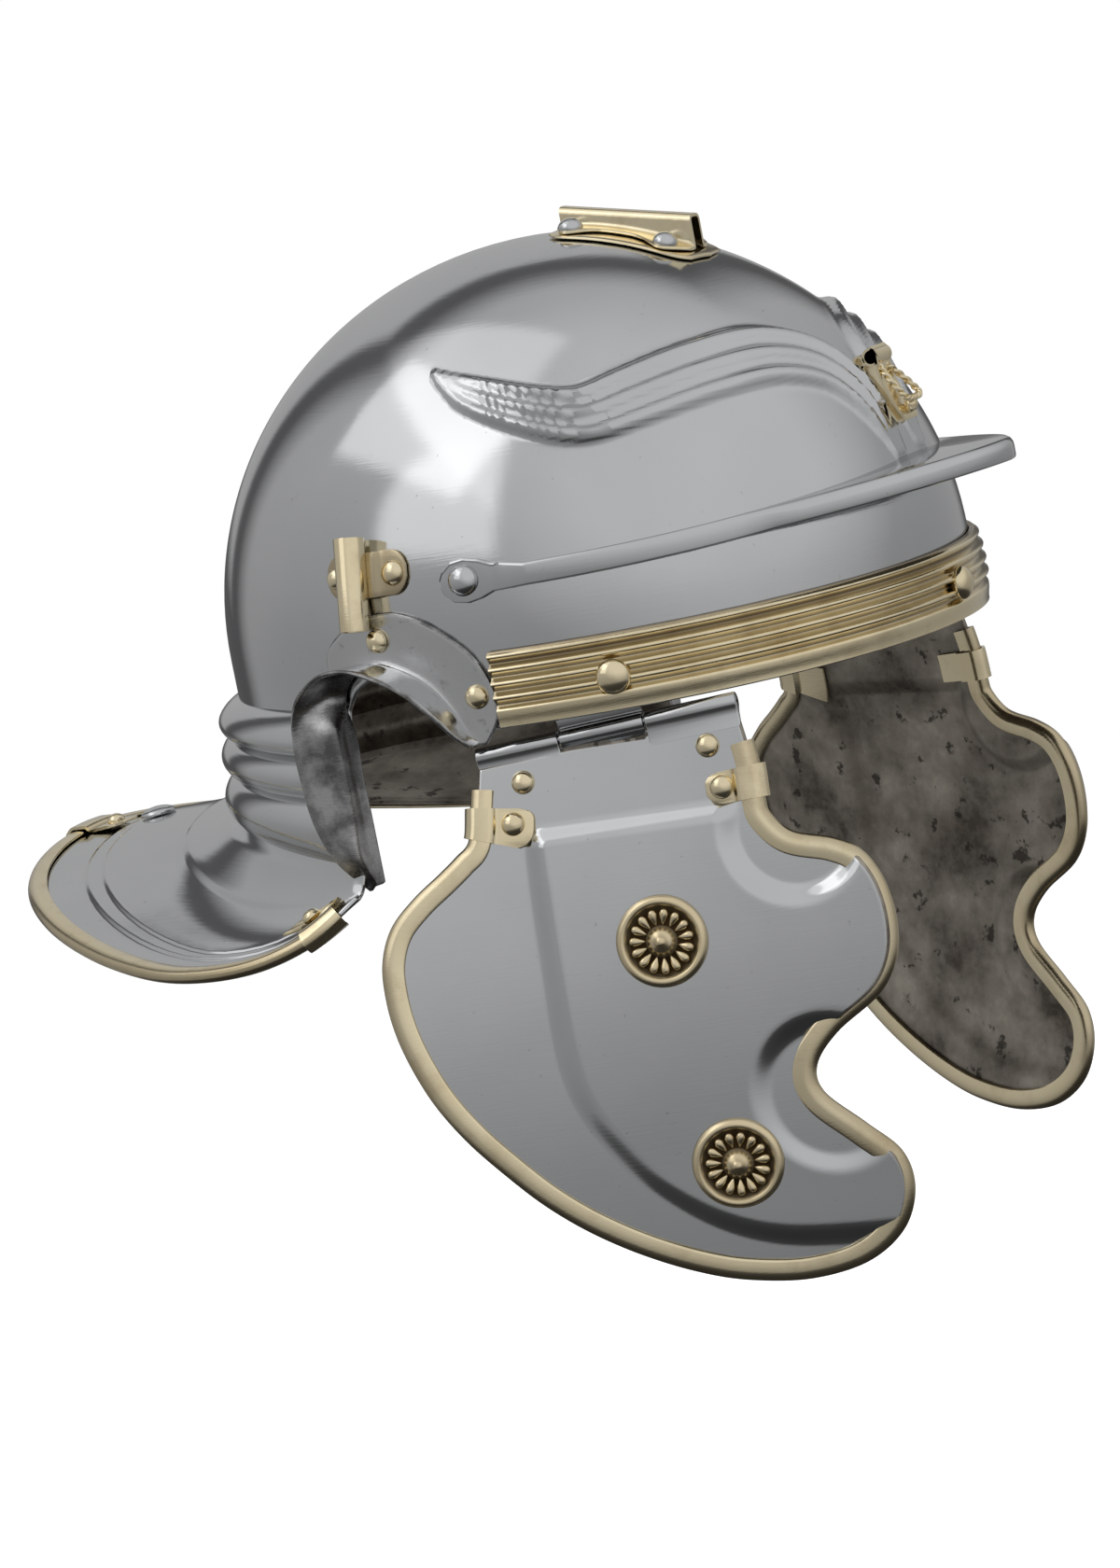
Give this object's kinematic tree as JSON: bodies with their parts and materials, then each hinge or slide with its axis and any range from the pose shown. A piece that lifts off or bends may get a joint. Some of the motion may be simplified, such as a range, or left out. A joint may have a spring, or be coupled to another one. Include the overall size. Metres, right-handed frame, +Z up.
{
  "type": "roman legionary helmet",
  "caption": "Iron infantry helmet with a broad neck guard, brass trim, crest holder, plume tubes, ear guards and hinged cheek pieces.",
  "frame": {"origin": "centre of the head opening, in the plane of the brow rim", "axes": "+X to the wearer's front, +Y to the wearer's left, +Z up"},
  "size_m": [0.3324, 0.2409, 0.2908],
  "materials": {
    "steel": "polished",
    "brass": "polished"
  },
  "bodies": {
    "helmet": {"bowl": "steel", "brow_band": "brass", "peak": "steel", "ear_guard_left": "steel", "ear_guard_right": "steel", "plume_tube_left": "brass", "plume_tube_right": "brass", "neck_edging": "brass", "crest_plate": "brass", "crest_holder": "brass", "front_hook": "brass", "hinge_pin_left": "steel", "hinge_leaf_left": "steel", "peak_rivet_left": "steel", "ear_rivet_top_left": "brass", "ear_rivet_front_left": "brass", "band_rivet_left": "brass", "tube_rivet_rear_left": "brass", "tube_rivet_front_left": "brass", "crest_rivet_rear_left": "steel", "crest_rivet_front_left": "steel", "hinge_pin_right": "steel", "hinge_leaf_right": "steel", "peak_rivet_right": "steel", "ear_rivet_top_right": "brass", "ear_rivet_front_right": "brass", "band_rivet_right": "brass", "tube_rivet_rear_right": "brass", "tube_rivet_front_right": "brass", "crest_rivet_rear_right": "steel", "crest_rivet_front_right": "steel", "neck_clip_left": "brass", "neck_rivet_left": "brass", "neck_clip_right": "brass", "neck_rivet_right": "brass", "neck_clip_rear": "brass", "neck_rivet_rear": "brass", "neck_stud": "steel", "band_rivet_front": "brass"},
    "left_cheek_piece": {"cheek_left": "steel", "cheek_edging_left": "brass", "cheek_clip_rear_left": "brass", "clip_rivet_rear_left": "brass", "cheek_clip_front_left": "brass", "clip_rivet_front_left": "brass", "leaf_rivet_rear_left": "brass", "leaf_rivet_front_left": "brass", "rosette_upper_left": "brass", "rosette_lower_left": "brass"},
    "right_cheek_piece": {"cheek_right": "steel", "cheek_edging_right": "brass", "cheek_clip_rear_right": "brass", "clip_rivet_rear_right": "brass", "cheek_clip_front_right": "brass", "clip_rivet_front_right": "brass", "leaf_rivet_rear_right": "brass", "leaf_rivet_front_right": "brass", "rosette_upper_right": "brass", "rosette_lower_right": "brass"}
  },
  "joints": [
    {"name": "right_cheek_hinge", "type": "hinge", "parent": "helmet", "child": "right_cheek_piece", "pos_m": [0.0418, -0.0855, -0.006], "axis": [-0.9595, -0.2751, -0.061], "range_deg": [-22, 68]},
    {"name": "left_cheek_hinge", "type": "hinge", "parent": "helmet", "child": "left_cheek_piece", "pos_m": [0.0418, 0.0855, -0.006], "axis": [0.9595, -0.2751, 0.061], "range_deg": [-16, 74]}
  ]
}
